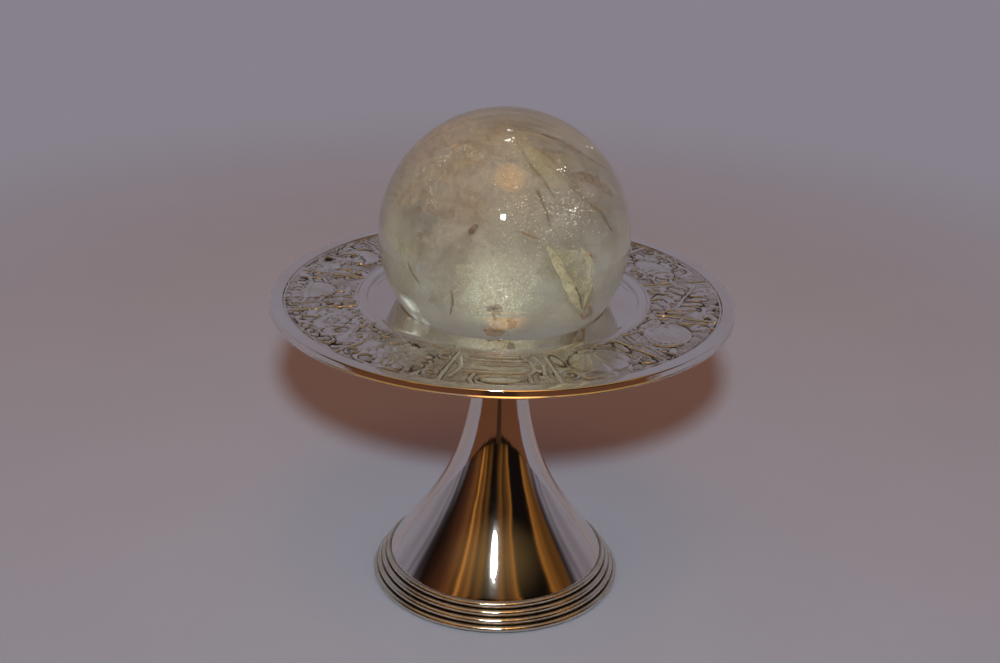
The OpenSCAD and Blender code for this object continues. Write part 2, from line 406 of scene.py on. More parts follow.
def milk(name, cover, painted_glow=0.0, fade=None):
    """A deep cloud: cream low in the middle, pinkish brown up to the left, greyer to the right."""
    s = Shader(name)
    x, _, z = s.node("SeparateXYZ", {"Vector": s.node("TexCoord").outputs["Object"]}).outputs
    broad = s.noise(15, 3, distortion=0.5)
    speckle = s.noise(1.3, 4, roughness=0.7)
    drift = s.spread(broad, -0.014, 0.014)
    low = s.between(s.math("ADD", z, drift), 0.162, 0.132)
    right = s.between(s.math("ADD", x, drift), 0.004, 0.032)
    upper = s.mix(right, (0.61, 0.54, 0.45, 1), (0.62, 0.61, 0.58, 1))
    colour = s.mix(low, upper, (0.98, 1.0, 0.83, 1))
    colour = s.mix(s.spread(speckle, 0.0, 0.35), colour, (1.0, 0.97, 0.86, 1))
    return mist(s, broad, speckle, colour, cover, painted_glow, fade)


def grain(name, dark, light, rough=0.4, painted_glow=0.0):
    """A solid mineral speck or needle, mottled along its length; its glow is painted light, and bright white
    ones with a strong glow are painted glints.
    """
    s = Shader(name)
    mottle = s.noise(0.8, 3, roughness=0.7)
    colour = s.mix(mottle, (*dark, 1), (*light, 1))
    return s.finish(s.principled(Base_Color=colour, Roughness=s.spread(mottle, rough, rough + 0.3),
                                 Emission_Color=colour, Emission_Strength=painted_glow,
                                 Normal=s.bump(mottle, 0.05)))


SILVER = polished_silver("polished_silver")
RELIEF = relief_silver("oxidised_relief_silver", (0.86, 0.83, 0.79), (0.58, 0.52, 0.44),
                       (0.03, 0.02, 0.014))
STEEL = zinc_steel("zinc_plated_steel")
LEATHER = leather("seat_leather")
FELT = felt("green_felt")
BOARD = card("grey_board")
QUARTZ = quartz("smoky_quartz")
# on the border's reeds its bright and dark stops show a painted highlight and painted shade
SHEEN_PAINTED_SILVER = relief_silver("border_silver_painted_sheen", (0.76, 0.72, 0.62), (0.42, 0.37, 0.27),
                              (0.02, 0.015, 0.01))


# -------- foot

def trumpet():
    """The spun trumpet, with its top turned in and a skirt inside the border."""
    curve = bezier([(TRUMPET_R, BORDER_TOP), *FLARE, (NECK_R, NECK_Z)], 96)
    wall_in, wall_down = 1.35, 0.55
    inner = [(max(r - wall_in, NECK_R - SHEET_T), z - wall_down) for r, z in curve[:-6]]
    top = [(ROD_HOLE_R, NECK_Z), (ROD_HOLE_R, NECK_Z - SHEET_T), (NECK_R - SHEET_T, NECK_Z - SHEET_T)]
    skirt = [(TRUMPET_R - SHEET_T, SKIRT_Z), (TRUMPET_R, SKIRT_Z)]
    turned("spun_trumpet", "trumpet_foot", curve + top + inner[::-1] + skirt)


def border():
    """The cast border: stepped round reeds outside, a ledge and a rebate under it inside, with a painted
    highlight and painted shade on each reed.
    """
    outline = [(TRUMPET_R + SOLDER_GAP, SKIRT_Z), (TRUMPET_R + SOLDER_GAP, BORDER_TOP)]
    centres = []
    notch = 63
    for i in reversed(range(REEDS)):
        centre = (BORDER_R - REED_R - i * REED_STEP, BORDER_BOTTOM + REED_R + i * REED_PITCH)
        centres.append(centre)
        outline += arc(centre, REED_R, 90, -notch if i else -90, 18)
        if i:
            step_z = BORDER_BOTTOM + 2 * REED_R + (i - 1) * REED_PITCH
            outline.append((centre[0] + REED_R * math.cos(math.radians(notch)), step_z))
    outline += [(REBATE_R, BORDER_BOTTOM), (REBATE_R, REBATE_TOP), (BORDER_BORE_R, REBATE_TOP),
                (BORDER_BORE_R, SKIRT_Z)]
    piece = lathe("reeded_foot_border", outline)
    points = np.array([v.co for v in piece.data.vertices]) / MM
    r, z = np.hypot(points[:, 0], points[:, 1]), points[:, 2]
    # each reed's value is a painted highlight that peaks where it faces up and out at 32 degrees, towards the
    # camera and lamps, with painted shade on its underside; elsewhere it is 0.3
    flat, highlight_at, highlight_width = 0.3, 32, 72
    painted_light = np.full(len(r), flat)
    for cx, cz in centres:
        turn = np.degrees(np.arctan2(z - cz, r - cx))
        near = np.abs(np.hypot(r - cx, z - cz) - REED_R) < 0.05
        painted_light = np.where(near, np.clip(1.0 - ((turn - highlight_at) / highlight_width) ** 2, 0, 1), painted_light)
    mark_relief(piece, painted_light)
    outfit(piece, STAND, "silver", SHEEN_PAINTED_SILVER, "reeded_border")


def collar():
    """The turned collar at the top of the neck."""
    half = (COLLAR_TOP - NECK_Z) / 2
    outline = [(ROD_HOLE_R, COLLAR_TOP), (ROD_HOLE_R, NECK_Z)]
    outline += arc((COLLAR_R - half, NECK_Z + half), half, -90, 90, 20)
    turned("turned_collar", "neck_collar", outline)


def felt_disc():
    """The felt under the foot, a little furry on its underside and edge."""
    rings, spokes = 40, 160
    angles = 2 * math.pi * np.arange(spokes) / spokes
    rim = 1 + rings * spokes
    points = []
    for layer in (0, 1):
        flat = [(0.0, 0.0)] + [(r * math.cos(a), r * math.sin(a))
                               for r in PAD_R * np.arange(1, rings + 1) / rings for a in angles]
        for x, y in flat:
            fur = 0.05 * (1 + noise.noise(Vector((x, y, 0)) * 0.9)) / 2
            points.append((x, y, PAD_T if layer else fur))
    faces = []
    for j in range(spokes):
        k = (j + 1) % spokes
        for start in (0, rim):
            faces.append((start, start + 1 + j, start + 1 + k))
            for i in range(rings - 1):
                a = start + 1 + i * spokes
                faces.append((a + j, a + spokes + j, a + spokes + k, a + k))
        edge = 1 + (rings - 1) * spokes
        faces.append((edge + j, edge + k, rim + edge + k, rim + edge + j))
    piece = new_piece("felt_disc", points, faces)
    outfit(piece, STAND, "felt", FELT, "felt_pad")


# -------- dish

def plate():
    """The spun plate: rounded mouth, polished floor, fillet and the sheet under the frieze."""
    depth = PLATE_Z - FLOOR_Z
    fillet = (WELL_R - depth, PLATE_Z)
    mouth = 0.3
    outline = [(RECESS_R, FLOOR_BOTTOM)]
    outline += arc((RECESS_R + mouth, FLOOR_Z - mouth), mouth, 180, 90, 6)
    outline += arc(fillet, depth, -90, 0, 14)
    outline += [(SHEET_R, PLATE_Z), (SHEET_R, PLATE_Z - SHEET_T)]
    under = math.degrees(math.asin(SHEET_T / (depth + SHEET_T)))
    outline += arc(fillet, depth + SHEET_T, -under, -90, 14)
    turned("spun_plate", "dish", outline, 320)


def cup():
    """The cup under the plate that the ball's lower part sits in."""
    centre = (0, BALL_Z)
    hole = 0.02
    shoulder_inner = math.sqrt(BOWL_R ** 2 - (BALL_Z - SHOULDER_Z) ** 2)
    mouth_angle = -math.degrees(math.acos(shoulder_inner / BOWL_R))
    outer_angle = -math.degrees(math.asin((BALL_Z - SHOULDER_Z + SHEET_T) / (BOWL_R + SHEET_T)))
    outline = [(RECESS_R, CUP_TOP), (RECESS_R, SHOULDER_Z)]
    outline += arc(centre, BOWL_R, mouth_angle, -90 + hole, 40)
    outline += arc(centre, BOWL_R + SHEET_T, -90 + hole, outer_angle, 40)
    outline += arc((RECESS_R, SHOULDER_Z), SHEET_T, -90, 0, 8)
    under = CUP_TOP - 1
    outline += [(RECESS_R + SHEET_T, under), (CUP_FLANGE_R, under), (CUP_FLANGE_R, CUP_TOP)]
    turned("spun_cup", "recess_cup", outline, 192)


def boss():
    """The soldered boss under the cup."""
    corner, tip = 0.5, 0.01
    bowl = BOWL_R + SHEET_T + SOLDER_GAP
    top = BALL_Z - math.sqrt(bowl ** 2 - BOSS_R ** 2)
    curve = [(r, BALL_Z - math.sqrt(bowl ** 2 - r * r)) for r in np.linspace(BOSS_R, tip, 12)]
    outline = [(ROD_R + SOLDER_GAP, COLLAR_TOP)]
    outline += arc((BOSS_R - corner, COLLAR_TOP + corner), corner, -90, 0, 5)
    outline += [(BOSS_R, top)] + curve + [(tip, BLIND_HOLE_TOP), (ROD_R + SOLDER_GAP, BLIND_HOLE_TOP)]
    turned("soldered_boss", "dish_boss", outline, 96)


def well_ring():
    """The plain raised ring, with a slightly crowned top."""
    corner, sag = 0.2, 0.12
    crown = [(WELL_R + corner + (WELL_RING_W - 2 * corner) * t, WELL_RING_TOP - sag * (2 * t - 1) ** 2)
             for t in np.linspace(0, 1, 11)]
    low = WELL_RING_TOP - sag - corner
    outline = [(WELL_R, PLATE_Z)] + arc((WELL_R + corner, low), corner, 180, 100, 6) + crown
    outline += arc((WELL_RING_R - corner, low), corner, 80, 0, 6) + [(WELL_RING_R, PLATE_Z)]
    turned("well_ring", "well_moulding", outline, 320)


def rim():
    """The flat rim with its rounded shoulder, side wall and thin sloping lower lip."""
    edge, shoulder, lip = 0.3, 0.6, 0.23
    slope_top, slope_foot = (RIM_TOP_R, RIM_BOTTOM + 0.82), (RIM_R - 0.03, RIM_BOTTOM + 0.46)
    outline = [(RIM_INNER_R, PLATE_Z)] + arc((RIM_INNER_R + edge, RIM_TOP - edge), edge, 180, 90, 6)
    outline += arc((RIM_TOP_R - shoulder, RIM_TOP - shoulder), shoulder, 90, 0, 10)
    outline += [slope_top, slope_foot] + arc((RIM_R - lip, RIM_BOTTOM + lip), lip, 35, -90, 10)
    outline += [(SHEET_R + SOLDER_GAP, RIM_BOTTOM), (SHEET_R + SOLDER_GAP, PLATE_Z)]
    turned("rim_casting", "rim_moulding", outline, 360)


def seat():
    """The leather-faced seat ring under the ball."""
    gap, corner = 0.25, 0.3
    heights = np.linspace(SHOULDER_Z, SEAT_TOP, 16)
    land = [(math.sqrt((BALL_R + gap) ** 2 - (BALL_Z - z) ** 2), z) for z in heights]
    outline = land + arc((SEAT_R - corner, SEAT_TOP - corner), corner, 90, 0, 5) + [(SEAT_R, SHOULDER_Z)]
    outfit(lathe("leather_seat_ring", outline, 192), SEAT, "leather_ring", LEATHER, "seat_ring")


# -------- frieze

def wander(x, y, size, seed):
    """Smooth random values from -1 to 1, with features about size millimetres across."""
    grid = np.random.default_rng(seed).uniform(-1, 1, (64, 64))
    u, v = x / size + 31.5, y / size + 31.5
    i, j = np.floor(u).astype(int), np.floor(v).astype(int)
    fu, fv = u - i, v - j
    fu, fv = fu * fu * (3 - 2 * fu), fv * fv * (3 - 2 * fv)
    i, j = i % 63, j % 63
    low = grid[i, j] * (1 - fu) + grid[i + 1, j] * fu
    high = grid[i, j + 1] * (1 - fu) + grid[i + 1, j + 1] * fu
    return low * (1 - fv) + high * fv


class Relief:
    """Heights from 0, the deepest groove, to 1, the highest point, over one panel of the frieze.

    x runs along the panel and y outwards, in millimetres from its middle. Shapes are laid on in turn,
    each given as a distance that is negative inside it."""

    GROUND = 0.40
    GROOVE_DEPTH = 0.42
    GROOVE_WIDTH = 0.42

    def __init__(self, x, y, seed, threads):
        self.x, self.y = x, y
        swell = wander(x, y, 6, seed) * 0.08 + wander(x, y, 2.4, seed + 1) * 0.06
        self.h = self.GROUND + swell
        for size, number, height in ((6.4, 2, 0.32), (4.0, 3, 0.24)):
            thread = np.abs(wander(x + wander(x, y, 7, seed + 5) * 2, y, size, seed + number))
            self.h += threads * height * np.clip(1 - thread / 0.2, 0, 1)
            cut = np.clip(1.6 * wander(x, y, 6, seed + 9 + number) + 0.2, 0, 1)
            self.h -= 0.36 * threads * cut * np.exp(-((thread - 0.26) / 0.06) ** 2)
        self.wear = 0.55 + 0.45 * wander(x, y, 8, seed + 7)

    def ellipse(self, cx, cy, a, b, turn=0):
        c, s = math.cos(math.radians(turn)), math.sin(math.radians(turn))
        u, v = self.x - cx, self.y - cy
        u, v = c * u + s * v, -s * u + c * v
        return (np.hypot(u / a, v / b) - 1) * min(a, b)

    def bar(self, x0, y0, x1, y1, half):
        u, v, dx, dy = self.x - x0, self.y - y0, x1 - x0, y1 - y0
        t = np.clip((u * dx + v * dy) / (dx * dx + dy * dy), 0, 1)
        return np.hypot(u - t * dx, v - t * dy) - half

    def path(self, points, half):
        """A bar along several points; half may taper from one number to another."""
        ends = np.linspace(*half, len(points)) if hasattr(half, "__len__") else [half] * len(points)
        parts = [self.bar(*points[i], *points[i + 1], ends[i]) for i in range(len(points) - 1)]
        return np.minimum.reduce(parts)

    def hoop(self, cx, cy, radius, half):
        return np.abs(np.hypot(self.x - cx, self.y - cy) - radius) - half

    def spiral(self, cx, cy, radius, turns, start=0, hand=1, half=0.6):
        """A scroll that winds in from its outer radius."""
        t = np.linspace(0, 1, int(14 * turns) + 2)
        a = math.radians(start) + hand * 2 * math.pi * turns * t
        r = radius * (1 - 0.86 * t)
        return self.path(list(zip(cx + r * np.cos(a), cy + r * np.sin(a))), (half, half * 0.6))

    def emboss(self, d, height=0.5, edge=1.2):
        """Lays a rounded shape on top, with a worn groove round it."""
        inside = d < 0
        lift = np.sqrt(1 - (1 - np.clip(-d / (1.5 * edge), 0, 1)) ** 2)
        cut = self.h - self.GROOVE_DEPTH * self.wear * np.exp(-(np.maximum(d, 0) / self.GROOVE_WIDTH) ** 2)
        texture = 0.3 * (self.h - self.GROUND)
        self.h = np.where(inside, self.GROUND * 0.6 + height * lift + texture, cut)

    def incise(self, d, width=0.3, depth=0.2, within=None):
        """Cuts a line where the distance is zero."""
        cut = depth * np.exp(-(d / width) ** 2)
        self.h -= cut if within is None else np.where(within < 0, cut, 0)


def shell(r):
    body = r.ellipse(0, -1, 12, 10.5)
    fan = np.degrees(np.arctan2(r.x, r.y + 11.5))
    r.emboss(body, 0.62, 5)
    r.h -= np.where(body < -0.3, 0.2 * np.clip(np.cos(np.radians(fan * 14)), 0, 1) ** 2, 0)
    r.emboss(r.ellipse(0, -10.5, 4, 2), 0.6)
    for side in (-1, 1):
        r.emboss(r.spiral(side * 15, 7, 3.4, 1.4, 90, side), 0.5, 0.6)
        r.emboss(r.ellipse(side * 15.5, -6, 1.6, 5, side * 12), 0.5)


def fish(r):
    r.emboss(r.ellipse(12.5, 3.6, 4.6, 1.9, 38), 0.5)
    r.emboss(r.ellipse(12.5, -4.6, 4.6, 1.9, -38), 0.5)
    r.emboss(r.ellipse(-1, 6.5, 5, 2, 14), 0.42)
    r.emboss(r.ellipse(-3, -6.2, 4, 1.8, -16), 0.42)
    body = r.ellipse(-2, 0, 12.5, 6)
    r.emboss(body, 0.66, 4)
    scales = np.hypot((r.x + 0.8 * np.round(r.y / 1.6) % 1.6) % 3.2 - 1.6, r.y % 3.2 - 1.6) - 1.5
    r.incise(scales, 0.22, 0.2, np.maximum(body, -7.5 - r.x))
    r.emboss(r.hoop(-10.2, 1.2, 1.1, 0.35), 0.62, 0.4)
    r.incise(r.hoop(-14.5, 0, 7.6, 0), 0.3, 0.3, body)
    for i in range(5):
        r.emboss(r.spiral(-15 + 7.5 * i, 11.2, 1.8, 1, 180, 1, 0.4), 0.42, 0.4)


def crescent(r):
    moon = np.maximum(r.ellipse(-2, 0, 9.4, 9.4), -r.ellipse(3, 1.5, 7.4, 7.4))
    r.emboss(moon, 0.62, 2.2)
    for cx, cy, size in ((5, 2, 4.2), (14.5, 8.5, 2.6), (14, -7.5, 3), (-14.5, 7, 2.4), (-14.5, -8, 2.6)):
        a = np.arctan2(r.y - cy, r.x - cx)
        star = np.hypot(r.x - cx, r.y - cy) - size * (0.66 + 0.34 * np.cos(5 * a))
        r.emboss(star, 0.55, 1.0)


def leaf_spray(r):
    r.emboss(r.path([(-16, -9), (-8, -3), (2, 0), (16, 8)], (0.9, 0.4)), 0.55, 0.7)
    for i in range(6):
        t = i / 5
        x, y = -12 + 25 * t, -6.4 + 12 * t
        for side in (-1, 1):
            leaf = r.ellipse(x - side * 2.2, y + side * 4.4, 4.8, 1.9, 26 + side * 52)
            r.emboss(leaf, 0.56, 1.5)
            r.incise(r.bar(x, y, x - side * 4.2, y + side * 8, 0), 0.22, 0.2, leaf)
    for cx, cy in ((-15, 8), (-11, 10.5), (13, -9), (9, -11)):
        r.emboss(r.ellipse(cx, cy, 1.7, 1.7), 0.6, 1.4)


def rosette(r):
    for offset, reach, a, b, height in ((22.5, 7, 5.2, 2.4, 0.5), (0, 6, 4.6, 2.3, 0.62)):
        for i in range(8):
            turn = 45 * i + offset
            c, s = math.cos(math.radians(turn)), math.sin(math.radians(turn))
            petal = r.ellipse(reach * c, reach * s, a, b, turn)
            r.emboss(petal, height, 1.8)
            if not offset:
                r.incise(r.bar(3 * c, 3 * s, 9 * c, 9 * s, 0), 0.25, 0.2, petal)
    r.emboss(r.ellipse(0, 0, 2.6, 2.6), 0.62, 2)
    for cx in (-15.5, 15.5):
        for cy, hand in ((7.5, 1), (-7.5, -1)):
            r.emboss(r.spiral(cx, cy, 3.2, 1.3, 90 * hand, hand), 0.48, 0.6)


def sun(r):
    for i in range(16):
        a = 22.5 * i
        c, s = math.cos(math.radians(a)), math.sin(math.radians(a))
        reach = 11.5 if i % 2 else 9.2
        r.emboss(r.path([(5 * c, 5 * s), ((reach - 2) * c - 0.7 * s, (reach - 2) * s + 0.7 * c),
                         (reach * c, reach * s)], (1.0, 0.35)), 0.5, 0.8)
    r.emboss(r.ellipse(0, 0, 5.6, 5.6), 0.66, 4)
    r.incise(r.hoop(0, 0, 4, 0), 0.3, 0.25)
    for cx in (-16, 16):
        r.emboss(r.bar(cx, -9, cx, 9, 0.9), 0.5, 0.8)
        for cy in (-9, -3, 3, 9):
            r.emboss(r.ellipse(cx, cy, 1.9, 1.3), 0.6, 1.2)


def shield(r):
    body = r.ellipse(0, 0, 11.5, 9.2, -12)
    r.emboss(body, 0.55, 1.2)
    inner = r.ellipse(0, 0, 9.6, 7.4, -12)
    r.incise(inner, 0.35, 0.3)
    for i in range(4):
        r.incise(r.hoop(-9, -9, 9 + 2.4 * i, 0), 0.3, 0.22, inner)
    for side in (-1, 1):
        strap = [(side * 13, -11), (side * 16, -5), (side * 14.5, 1), (side * 16.5, 10)]
        r.emboss(r.path(strap, (1.1, 0.5)), 0.52)
        r.emboss(r.ellipse(side * 11.5, 9.5, 3.2, 1.5, side * 35), 0.5)


def urn(r):
    bowl = np.maximum(r.ellipse(0, 2, 8.5, 8), r.y - 5)
    for side in (-1, 1):
        handle = [(side * 9, 6), (side * 13, 8), (side * 13, 2), (side * 8, -1)]
        r.emboss(r.path(handle, 0.8), 0.5, 0.7)
    r.emboss(bowl, 0.62, 3)
    r.incise(np.abs(np.sin(r.x * 0.9)) * 1.2, 0.3, 0.18, np.maximum(bowl, r.y))
    r.emboss(r.bar(-8, 5.8, 8, 5.8, 1.0), 0.6, 0.8)
    r.emboss(r.bar(0, -6, 0, -9, 1.3), 0.5)
    r.emboss(r.bar(-5, -10.4, 5, -10.4, 1.1), 0.56)
    for i in range(-2, 3):
        r.emboss(r.ellipse(i * 3.1, 9.6 + 0.6 * (i % 2), 1.9, 1.9), 0.56, 1.6)


def plait(r):
    for phase in (0, math.pi):
        y = 5.2 * np.sin(r.x * 0.33 + phase)
        slope = 5.2 * 0.33 * np.cos(r.x * 0.33 + phase)
        strand = np.abs(r.y - y) / np.sqrt(1 + slope ** 2) - 1.9
        r.emboss(strand, 0.5, 1.5)
        ridges = np.clip(np.cos(2.6 * (r.x - r.y * np.sign(slope))), 0, 1) ** 2
        r.h -= np.where(strand < -0.2, 0.18 * ridges, 0)
    for cy in (-10.8, 10.8):
        for i in range(-4, 5):
            r.emboss(r.ellipse(4 * i, cy, 1.7, 1.2), 0.5, 1)


def hoops(r):
    for cx, hand in ((-9, 1), (9, -1)):
        for radius in (11.5, 8.3, 5.1):
            r.emboss(np.maximum(r.hoop(cx, -12, radius * 1.5, 0.85), -(r.y + 13)), 0.52, 0.8)
        r.emboss(r.ellipse(cx, -8.5, 3.4, 3.4), 0.6, 2.6)
        r.emboss(r.spiral(cx * 1.6, 8.5, 3.0, 1.3, 0, hand), 0.5, 0.6)


def acanthus(r):
    for side in (-1, 1):
        r.emboss(r.spiral(side * 8.5, 2.5, 7, 1.6, 90 + side * 90, side, 1.1), 0.56, 0.9)
        for i in range(5):
            a = math.radians(200 - side * 20 + side * 38 * i)
            x, y = side * 8.5 + 8.6 * math.cos(a), 2.5 + 8.6 * math.sin(a)
            r.emboss(r.ellipse(x, y, 3, 1.3, math.degrees(a)), 0.48, 1.0)
        r.emboss(r.path([(0, -12), (side * 3, -8), (side * 9, -7), (side * 15, -11)], (1.2, 0.5)), 0.5, 0.8)
    r.emboss(r.ellipse(0, 4, 2.2, 7.5), 0.6, 2)
    r.incise(r.bar(0, -3, 0, 11, 0), 0.25, 0.25)


def lintel(r):
    """The calm panel at the front: a long bar and plain bands between curved uprights."""
    for cy, half, height in ((-10.5, 0.7, 0.40), (-7.5, 0.9, 0.44), (-3.6, 0.6, 0.34)):
        r.emboss(r.bar(-13, cy, 11, cy, half), height, half)
    r.emboss(r.bar(-12, 3.4, 9, 3.4, 1.3), 0.58, 1.0)
    r.emboss(r.path([(-8.5, 13), (-10, 9.5), (-9, 5)], 0.8), 0.46, 0.7)
    r.emboss(r.ellipse(0, 9.5, 6.5, 2.6), 0.44, 2.4)
    r.emboss(r.path([(9, -11), (12, -6), (12.5, 1), (9.5, 5), (10, 12)], (0.9, 0.7)), 0.55, 0.8)
    r.emboss(r.path([(14, -11), (16.5, -3), (15, 5), (16.5, 12)], (0.9, 0.6)), 0.5, 0.8)
    r.emboss(r.path([(-17, -8), (-14.5, 0), (-16.5, 9)], (1.0, 0.6)), 0.5, 0.8)
    for cy in (-4, 1.5, 7.5):
        r.emboss(r.ellipse(13.8, cy, 1.2, 1.8), 0.5, 1.1)


PANELS = (lintel, shell, shield, leaf_spray, fish, hoops, sun, acanthus, crescent, urn, plait, rosette)


def frieze():
    """The relief band as one fine mesh: twelve panels, their dividers and an outer border fillet."""
    across, along = 76, 106
    inner, outer = WELL_RING_R + SOLDER_GAP, FRIEZE_R
    middle = (inner + outer) / 2
    radii = np.linspace(inner, outer, across)
    panel_angle = 2 * math.pi / len(PANELS)
    step = panel_angle / along
    edge = panel_angle * middle / 2
    fillet = 0.55
    rows = []
    for number, draw in enumerate(PANELS):
        angles = (np.arange(along) + 0.5) * step - panel_angle / 2
        x, r = np.meshgrid(angles * middle, radii, indexing="ij")
        panel = Relief(x, r - middle, 100 * number, 0.3 if draw is lintel else 1.0)
        draw(panel)
        for side in (-1, 1):
            panel.emboss(panel.bar(side * edge, -20, side * edge, 20, 0.75), 0.5, 0.7)
        panel.emboss(np.abs(r - outer + fillet) - fillet, 0.55, 0.5)
        rows.append(np.maximum(panel.h, 0.86 - 0.45 * np.clip(r - inner - 0.4, 0, 2)))
    heights = np.clip(np.vstack(rows), 0, 1)
    count = len(heights)
    angles = (np.arange(count) + 0.5) * step - math.pi / 2 - panel_angle / 2
    low, high, underside = PLATE_Z + 0.05, FRIEZE_TOP, PLATE_Z + 0.002
    z = np.hstack([low + (high - low) * heights, np.full((count, 2), underside)])
    radii = np.append(radii, [outer, inner])
    cos, sin = np.cos(angles)[:, None], np.sin(angles)[:, None]
    piece = band("relief_frieze", np.stack([cos * radii, sin * radii, z], -1), 80)
    mark_relief(piece, np.hstack([heights, np.full((count, 2), 0.4)]).ravel())
    outfit(piece, STAND, "silver_relief", RELIEF, "frieze_band")


# -------- ball

def ball():
    """The polished quartz sphere."""
    piece = blob("quartz_ball", 7, lambda direction: CENTRE + direction * BALL_R)
    outfit(piece, BALL, "quartz", QUARTZ, "crystal_ball")


# -------- inside the ball

CENTRE = Vector((0, 0, BALL_Z))
FRONT = Vector((0, -0.9443, 0.3290))
SIDE = Vector((0.99971, -0.0079, -0.0226))
LIFT = FRONT.cross(SIDE)


def inside(right, up, depth):
    """The point in the quartz that shows at (right, up) mm from the ball's middle, seen from the front.

    depth runs from 0, where the sight line enters the ball, to 1, where it leaves."""
    limit = 0.97
    offset = SIDE * right + LIFT * up
    if offset.length > BALL_R * limit:
        offset = offset.normalized() * BALL_R * limit
    normal = (offset + FRONT * math.sqrt(BALL_R ** 2 - offset.length_squared)) / BALL_R
    cosine = normal.dot(FRONT)
    bent = math.sqrt(1 - (1 - cosine * cosine) / QUARTZ_IOR ** 2)
    ray = -FRONT / QUARTZ_IOR + normal * (cosine / QUARTZ_IOR - bent)
    chord = 2 * BALL_R * bent
    return CENTRE + normal * BALL_R + ray * chord * (0.02 + 0.96 * depth)


def solid_sheet(name, grid, keep, thickness):
    """A closed thin sheet from a grid of points in mm, made of the quads that are kept."""
    rows, columns = keep.shape
    grid = np.array(grid, float)
    across = np.gradient(grid, axis=0)
    down = np.gradient(grid, axis=1)
    normal = np.cross(across, down)
    normal /= np.maximum(np.linalg.norm(normal, axis=-1, keepdims=True), 1e-9)
    both = [grid + normal * thickness / 2, grid - normal * thickness / 2]
    used, points, faces = {}, [], []

    def index(layer, i, j):
        key = (layer, i, j)
        if key not in used:
            used[key] = len(points)
            points.append(both[layer][i, j])
        return used[key]

    for i in range(rows):
        for j in range(columns):
            if not keep[i, j]:
                continue
            corners = [(i, j), (i + 1, j), (i + 1, j + 1), (i, j + 1)]
            faces.append([index(0, *c) for c in corners])
            faces.append([index(1, *c) for c in reversed(corners)])
            for k, (di, dj) in enumerate(((0, -1), (1, 0), (0, 1), (-1, 0))):
                ni, nj = i + di, j + dj
                if 0 <= ni < rows and 0 <= nj < columns and keep[ni, nj]:
                    continue
                a, b = corners[k], corners[(k + 1) % 4]
                faces.append([index(0, *b), index(0, *a), index(1, *a), index(1, *b)])
    return new_piece(name, points, faces, 60)


def in_quartz(piece, material):
    """Gives an inclusion its look; it is part of the ball's quartz."""
    piece.data.materials.append(material)
    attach(piece, BALL)


def swung(middle, x, y, turn):
    """The point (x, y) from the middle of a shape that is turned round it."""
    c, s = math.cos(math.radians(turn)), math.sin(math.radians(turn))
    return middle[0] + c * x - s * y, middle[1] + s * x + c * y


def veil_patch(name, material, middle, size, turn, depths, seed, ragged=0.35, cells=44):
    """A ragged veil that shows as an oval at middle, and tilts in depth from one end to the other."""
    rng = np.random.default_rng(seed)
    shift = rng.uniform(-9, 9)
    grid = np.zeros((cells + 1, cells + 1, 3))
    reach = np.zeros((cells + 1, cells + 1))
    for i in range(cells + 1):
        for j in range(cells + 1):
            u, v = 2 * i / cells - 1, 2 * j / cells - 1
            x, y = u * size[0], v * size[1]
            wave = 0.06 * noise.noise(Vector((u * 1.6, v * 1.6, shift)))
            depth = depths[0] + (depths[1] - depths[0]) * (u + 1) / 2 + wave
            grid[i, j] = inside(*swung(middle, x, y, turn), min(max(depth, 0.02), 0.98))
            torn = noise.fractal(Vector((u * 3, v * 3, shift)), 0.7, 2.0, 4)
            reach[i, j] = math.hypot(u, v) + ragged * torn
    keep = (reach[:-1, :-1] + reach[1:, 1:]) / 2 < 0.92
    in_quartz(solid_sheet(name, grid, keep, 0.05), material)


def ribbon(name, material, path, width, depths, seed, thickness=0.25):
    """A flat streak along a path given as it shows from the front, with wavering edges."""
    steps = 30
    path = np.array(path, float)
    along = np.linspace(0, len(path) - 1, steps)
    x = np.interp(along, range(len(path)), path[:, 0])
    y = np.interp(along, range(len(path)), path[:, 1])
    dx, dy = np.gradient(x), np.gradient(y)
    length = np.maximum(np.hypot(dx, dy), 1e-6)
    grid = np.zeros((steps, 7, 3))
    for i in range(steps):
        t = i / (steps - 1)
        taper = min(1, 4 * t + 0.15, 4 * (1 - t) + 0.15)
        ragged = 1 + 0.4 * noise.noise(Vector((t * 9, seed * 3.7, 0)))
        for j in range(7):
            side = (j / 6 - 0.5) * width * taper * ragged
            wave = 0.02 * noise.noise(Vector((t * 6, j * 0.5, seed)))
            depth = depths[0] + (depths[1] - depths[0]) * t + wave
            grid[i, j] = inside(x[i] - dy[i] / length[i] * side, y[i] + dx[i] / length[i] * side, depth)
    in_quartz(solid_sheet(name, grid, np.ones((steps - 1, 6), bool), thickness), material)


def specks(name, material, places, sizes, seed):
    """Many tiny eight-sided crystals as one piece."""
    rng = np.random.default_rng(seed)
    points, faces = [], []
    corner = [(1, 0, 0), (0, 1, 0), (-1, 0, 0), (0, -1, 0), (0, 0, 1), (0, 0, -1)]
    sides = [(0, 1, 4), (1, 2, 4), (2, 3, 4), (3, 0, 4), (1, 0, 5), (2, 1, 5), (3, 2, 5), (0, 3, 5)]
    for place in places:
        size = rng.uniform(*sizes)
        stretch = size * rng.uniform(0.4, 1.4, 3)
        turn = Matrix.Rotation(rng.uniform(0, 6.3), 3, Vector(rng.normal(size=3)))
        start = len(points)
        points += [Vector(place) + turn @ Vector([c * k for c, k in zip(one, stretch)]) for one in corner]
        faces += [tuple(start + k for k in side) for side in sides]
    in_quartz(new_piece(name, points, faces, 1), material)


def cloud(middle, size, depth, count, seed, turn=0):
    """Random places in a soft-edged cloud, as it shows from the front."""
    rng = np.random.default_rng(seed)
    places = []
    while len(places) < count:
        u, v, w = rng.normal(0, 0.42, 3)
        if u * u + v * v > 1.4:
            continue
        x, y = u * size[0], v * size[1]
        where = depth[0] + (depth[1] - depth[0]) * (0.5 + w)
        if not 0.03 < where < 0.97:
            continue
        places.append(inside(*swung(middle, x, y, turn), where))
    return places


